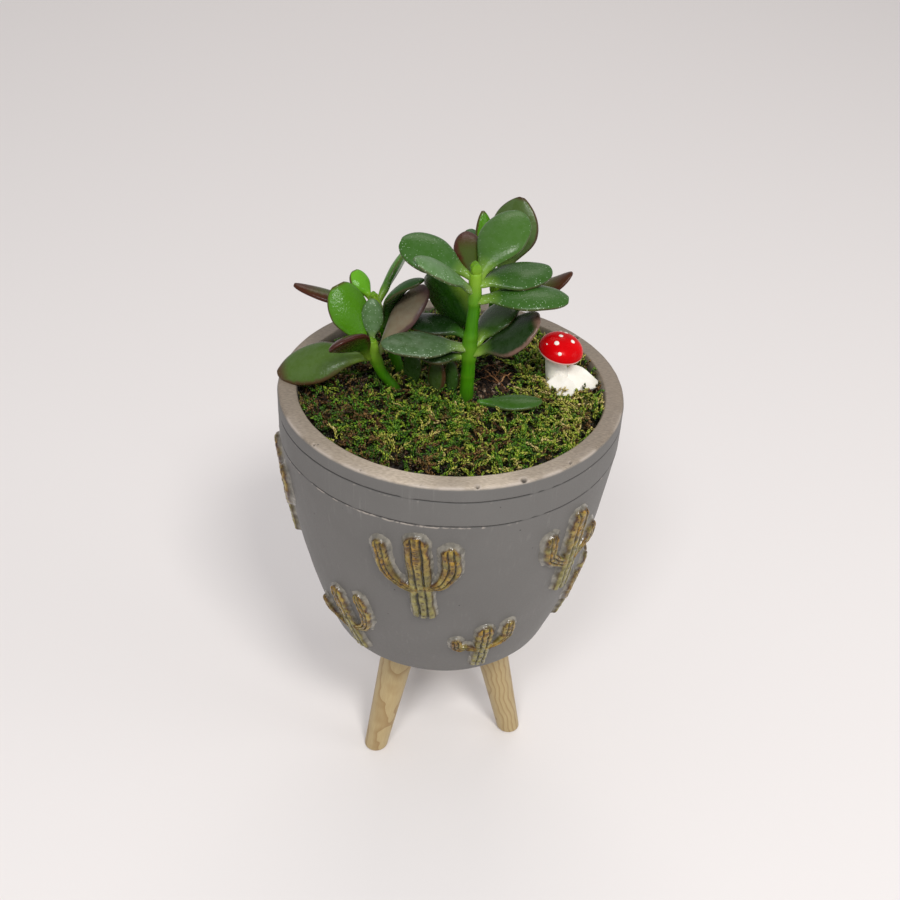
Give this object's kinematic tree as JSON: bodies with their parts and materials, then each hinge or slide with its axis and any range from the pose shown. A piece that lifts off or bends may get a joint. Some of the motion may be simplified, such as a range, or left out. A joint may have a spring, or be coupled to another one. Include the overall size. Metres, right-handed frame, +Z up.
{
  "type": "potted crassula",
  "caption": "Succulent crassula with thick oval leaves on upright stems in a round, moss-covered pot with cactus reliefs and splayed wooden legs.",
  "frame": {"origin": "on the ground under the pot's axis", "axes": "+Z up; +X to the right and -Y to the front, as the picture sees the pot"},
  "size_m": [0.1218, 0.1214, 0.2225],
  "materials": {
    "pot_wall": "matte",
    "leg_wood": "satin",
    "soil": "matte",
    "moss": "matte",
    "stem": "satin",
    "leaf_green": "satin",
    "leaf_dusty": "satin",
    "leaf_red": "satin",
    "leaf_olive": "satin",
    "leaf_bright": "gloss",
    "leaf_bronze": "satin",
    "toadstool_foot": "matte",
    "toadstool_cap": "gloss"
  },
  "bodies": {
    "root": {"pot": "pot_wall", "leg_1": "leg_wood", "leg_2": "leg_wood", "leg_3": "leg_wood", "soil": "soil", "moss": "moss", "stem_main": "stem", "stem_front_left": "stem", "stem_rear_left": "stem", "stem_rear_right": "stem", "leaf_top_left_large": "leaf_green", "leaf_top_left_front": "leaf_dusty", "leaf_top_rear_red": "leaf_red", "leaf_mid_left": "leaf_green", "leaf_mid_right_large": "leaf_green", "leaf_top_upright": "leaf_green", "leaf_top_right_dark": "leaf_green", "leaf_low_right_rear": "leaf_green", "leaf_low_right": "leaf_green", "leaf_low_left_long": "leaf_dusty", "leaf_low_left_under": "leaf_green", "leaf_low_left_rear": "leaf_green", "leaf_shoot_left_long": "leaf_olive", "leaf_shoot_front_red": "leaf_red", "leaf_shoot_bright": "leaf_bright", "leaf_shoot_narrow": "leaf_green", "leaf_shoot_bronze": "leaf_bronze", "leaf_rear_left_thin": "leaf_red", "leaf_rear_left_small": "leaf_bright", "leaf_rear_left_upright": "leaf_olive", "leaf_rear_left_dark": "leaf_green", "leaf_rear_right_pointed": "leaf_olive", "leaf_rear_right_small": "leaf_bright", "leaf_rear_right_red_tip": "leaf_red", "leaf_rear_right_back": "leaf_green", "sprout_left": "leaf_green", "sprout_mid": "leaf_bronze", "sprout_right": "leaf_green", "fallen_leaf": "leaf_green", "toadstool_foot": "toadstool_foot", "toadstool_cap": "toadstool_cap"}
  },
  "joints": []
}
